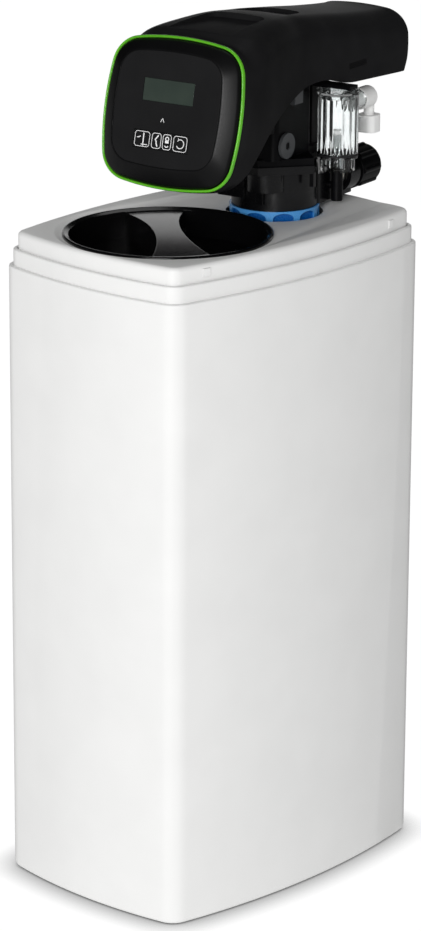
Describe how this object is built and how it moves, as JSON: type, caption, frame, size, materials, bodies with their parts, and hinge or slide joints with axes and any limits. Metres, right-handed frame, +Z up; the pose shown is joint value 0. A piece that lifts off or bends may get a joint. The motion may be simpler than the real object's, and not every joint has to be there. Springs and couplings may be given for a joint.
{
  "type": "water softener",
  "caption": "Cabinet water softener: bowed salt cabinet with a lift-out lid around a resin tank, and a motor driven control valve under a leaned display hood with a clear sight chamber.",
  "frame": {"origin": "middle of the cabinet's underside, on the floor", "axes": "+X to the cabinet's right, +Y to the back, +Z up; the display faces -Y, turned 10 degrees to the right"},
  "size_m": [0.294, 0.4939, 0.9481],
  "materials": {
    "cabinet_white": "satin",
    "lid_black": "satin",
    "hood_black": "satin",
    "panel_black": "satin",
    "display_glass": "gloss",
    "ring_green": "gloss",
    "ring_blue": "satin",
    "valve_black": "satin",
    "clear_plastic": "clear",
    "fitting_white": "gloss",
    "plug_grey": "matte",
    "natural_plastic": "matte",
    "rubber_black": "matte",
    "steel": "brushed",
    "tank_fibre": "satin",
    "board_green": "matte"
  },
  "bodies": {
    "softener": {"cabinet_body": "cabinet_white", "cabinet_cover": "cabinet_white", "overflow_elbow": "valve_black", "overflow_nut": "valve_black", "brine_grommet": "rubber_black", "brine_well": "natural_plastic", "brine_well_cap": "fitting_white", "float_rod": "natural_plastic", "brine_valve": "natural_plastic", "resin_tank": "tank_fibre", "tank_foot": "rubber_black", "tank_ring": "ring_blue", "tank_seal": "rubber_black", "riser_tube": "natural_plastic", "bottom_strainer": "natural_plastic", "top_strainer": "natural_plastic", "valve_base": "valve_black", "valve_body": "valve_black", "flange_screws": "steel", "barrel_cap": "valve_black", "seal_spacers": "natural_plastic", "lip_seals": "rubber_black", "injector_plug": "plug_grey", "drain_fitting": "valve_black", "inlet_nut": "valve_black", "outlet_nut": "valve_black", "meter_cage": "natural_plastic", "sight_stem": "valve_black", "sight_base": "clear_plastic", "sight_seal": "rubber_black", "sight_chamber": "clear_plastic", "sight_cap": "clear_plastic", "standpipe": "clear_plastic", "elbow_collar": "clear_plastic", "drive_bracket": "valve_black", "drive_motor": "steel", "control_board": "board_green", "lcd_module": "display_glass", "display_panel": "panel_black", "fascia": "hood_black", "light_ring": "ring_green", "head_hood": "hood_black", "power_socket": "rubber_black", "sensor_plug": "plug_grey"},
    "lid": {"salt_lid": "lid_black"},
    "drive_gear": {"drive_gear": "natural_plastic"},
    "idler_gear": {"idler_gear": "natural_plastic"},
    "motor_pinion": {"motor_pinion": "steel"},
    "piston": {"piston": "natural_plastic", "piston_rod": "steel"},
    "blend_screw": {"blend_screw": "plug_grey"},
    "brine_elbow": {"brine_elbow": "fitting_white", "elbow_nut": "fitting_white"},
    "meter_turbine": {"meter_turbine": "natural_plastic"},
    "brine_float": {"brine_float": "fitting_white"},
    "sight_float": {"sight_float": "fitting_white"},
    "key_1": {"key_1": "panel_black"},
    "key_2": {"key_2": "panel_black"},
    "key_3": {"key_3": "panel_black"},
    "key_4": {"key_4": "panel_black"}
  },
  "joints": [
    {"name": "lid_lift", "type": "slide", "parent": "softener", "child": "lid", "axis": [0, 0, 1], "range_m": [0, 0.042]},
    {"name": "drive_turn", "type": "hinge", "parent": "softener", "child": "drive_gear", "pos_m": [0.02066, -0.02219, 0.884], "axis": [-0.1736, 0.9848, 0], "range_deg": [0, 360]},
    {"name": "idler_turn", "type": "hinge", "parent": "softener", "child": "idler_gear", "pos_m": [-0.02931, -0.031, 0.86553], "axis": [-0.1736, 0.9848, 0], "range_deg": [-720, 0]},
    {"name": "pinion_turn", "type": "hinge", "parent": "softener", "child": "motor_pinion", "pos_m": [-0.02021, -0.0294, 0.84016], "axis": [-0.1736, 0.9848, 0], "range_deg": [0, 1440]},
    {"name": "piston_travel", "type": "slide", "parent": "softener", "child": "piston", "axis": [-0.1736, 0.9848, 0], "range_m": [0, 0.036]},
    {"name": "blend_turn", "type": "hinge", "parent": "softener", "child": "blend_screw", "pos_m": [0.04188, 0.06481, 0.8035], "axis": [0.9848, 0.1736, 0], "range_deg": [0, 270]},
    {"name": "elbow_swivel", "type": "hinge", "parent": "softener", "child": "brine_elbow", "pos_m": [0.03593, 0.19069, 0.8345], "axis": [-0.1736, 0.9848, 0], "range_deg": [-90, 90]},
    {"name": "meter_spin", "type": "hinge", "parent": "softener", "child": "meter_turbine", "pos_m": [0.01809, 0.18247, 0.752], "axis": [-0.1736, 0.9848, 0], "continuous": true},
    {"name": "brine_float_rise", "type": "slide", "parent": "softener", "child": "brine_float", "axis": [0, 0, 1], "range_m": [0, 0.06]},
    {"name": "sight_float_rise", "type": "slide", "parent": "softener", "child": "sight_float", "axis": [0, 0, 1], "range_m": [0, 0.01]},
    {"name": "key_1_press", "type": "slide", "parent": "softener", "child": "key_1", "axis": [-0.1694, 0.9607, -0.2198], "range_m": [0, 0.0005], "stiffness_N_per_m": 800},
    {"name": "key_2_press", "type": "slide", "parent": "softener", "child": "key_2", "axis": [-0.1694, 0.9607, -0.2198], "range_m": [0, 0.0005], "stiffness_N_per_m": 800},
    {"name": "key_3_press", "type": "slide", "parent": "softener", "child": "key_3", "axis": [-0.1694, 0.9607, -0.2198], "range_m": [0, 0.0005], "stiffness_N_per_m": 800},
    {"name": "key_4_press", "type": "slide", "parent": "softener", "child": "key_4", "axis": [-0.1694, 0.9607, -0.2198], "range_m": [0, 0.0005], "stiffness_N_per_m": 800}
  ],
  "couplings": [
    {"joint": "piston_travel", "follows": "drive_turn", "m_per_rad": 0.0057296},
    {"joint": "idler_turn", "follows": "drive_turn", "ratio": -2},
    {"joint": "pinion_turn", "follows": "drive_turn", "ratio": 4}
  ]
}
